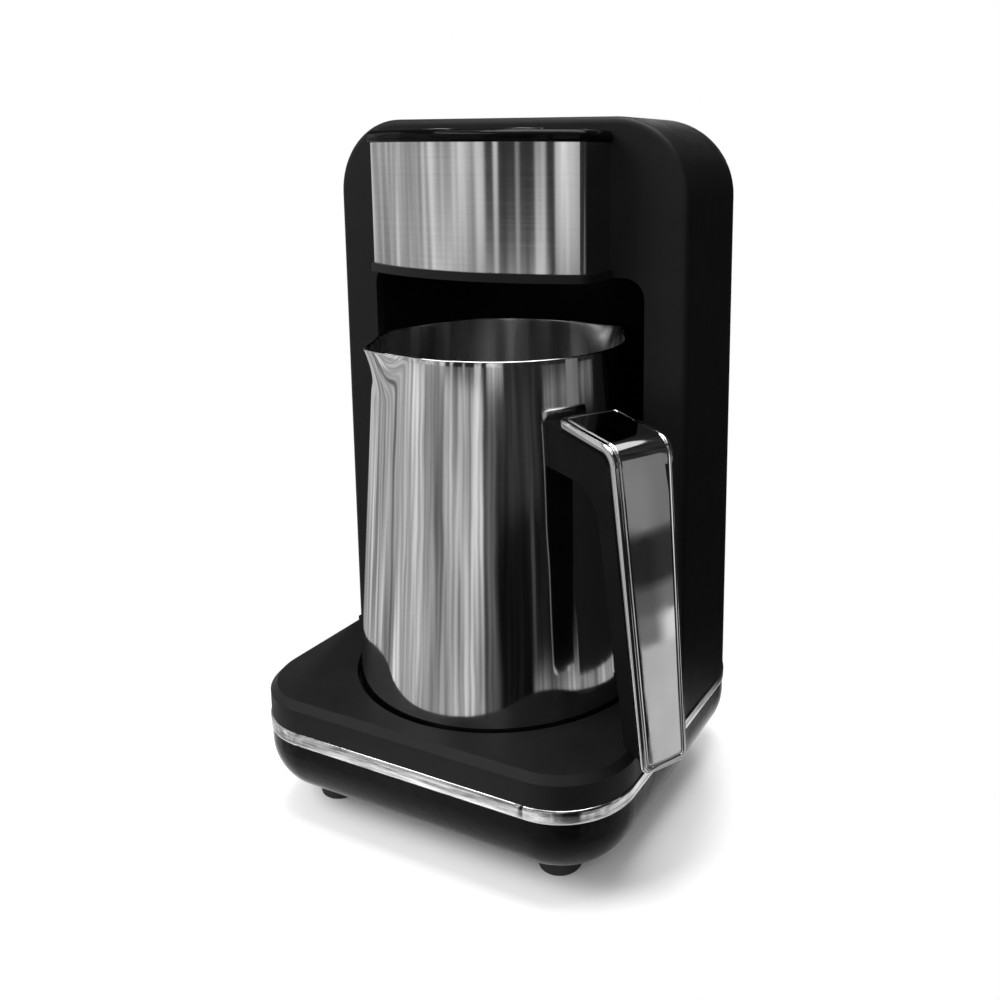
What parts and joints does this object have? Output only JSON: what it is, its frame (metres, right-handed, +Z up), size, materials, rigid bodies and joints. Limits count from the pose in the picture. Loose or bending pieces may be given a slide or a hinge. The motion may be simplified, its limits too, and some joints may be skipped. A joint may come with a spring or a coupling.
{
  "type": "electric coffee maker",
  "caption": "Electric coffee maker: black base with a hot plate and chrome band, upright tower with a steel-banded head over a lift-off tapered steel pot with chrome-faced handle.",
  "frame": {"origin": "middle of the whole object's footprint, handle and rear gland included, at table level", "axes": "+Z up, -Y to the front where the head and the pot face the user, +X to the user's right, the side the pot's handle is on"},
  "size_m": [0.1634, 0.1336, 0.2498],
  "materials": {
    "satin_black": "fine satin grain",
    "gloss_black": "polished black",
    "alcove_black": "satin",
    "inner_plastic": "plain moulded",
    "handle_plastic": "satin",
    "key_plastic": "polished",
    "foot_rubber": "matt",
    "wire_sheath": "matt sleeve",
    "chrome_trim": "mirror",
    "brushed_band": "fine horizontal brushing",
    "pot_steel": "polished",
    "plate_metal": "turned, dull",
    "heater_metal": "dull",
    "screw_steel": "zinc plated",
    "board_green": "lacquered board",
    "iron_core": "lacquered",
    "window_glass": "clear dark red"
  },
  "bodies": {
    "machine": {"base_cover": "satin_black", "tower_front_frame": "satin_black", "tower_rear_shell": "satin_black", "head_lower_ring": "satin_black", "base_tub": "gloss_black", "head_top_panel": "gloss_black", "recess_liner": "alcove_black", "head_shell": "inner_plastic", "terminal_block": "inner_plastic", "foam_sensor": "inner_plastic", "key_switches": "inner_plastic", "relay": "inner_plastic", "buzzer": "inner_plastic", "feet": "foot_rubber", "plate_seal": "foot_rubber", "cord_gland": "foot_rubber", "wiring_loom": "wire_sheath", "chrome_band_front": "chrome_trim", "chrome_band_rear": "chrome_trim", "head_steel_band": "brushed_band", "hot_plate": "plate_metal", "temperature_sensor": "plate_metal", "heating_element": "heater_metal", "heater_bracket": "heater_metal", "thermal_fuse": "heater_metal", "filter_capacitor": "heater_metal", "base_screws": "screw_steel", "heater_screws": "screw_steel", "tower_screws": "screw_steel", "board_screws": "screw_steel", "head_screws": "screw_steel", "control_board": "board_green", "power_board": "board_green", "transformer": "iron_core", "sensor_window": "window_glass"},
    "pot": {"pot_body": "pot_steel", "handle_bracket": "pot_steel", "handle_core": "handle_plastic", "handle_cover": "chrome_trim", "handle_screw": "screw_steel"},
    "start_key": {"button_start": "key_plastic"},
    "size_key": {"button_size": "key_plastic"}
  },
  "joints": [
    {"name": "pot_lift", "type": "slide", "parent": "machine", "child": "pot", "axis": [0, 0, 1], "range_m": [0, 0.018]},
    {"name": "start_press", "type": "slide", "parent": "machine", "child": "start_key", "axis": [0, 0, -1], "range_m": [0, 0.001], "stiffness_N_per_m": 400, "springref_m": -0.0006},
    {"name": "size_press", "type": "slide", "parent": "machine", "child": "size_key", "axis": [0, 0, -1], "range_m": [0, 0.001], "stiffness_N_per_m": 400, "springref_m": -0.0006}
  ]
}
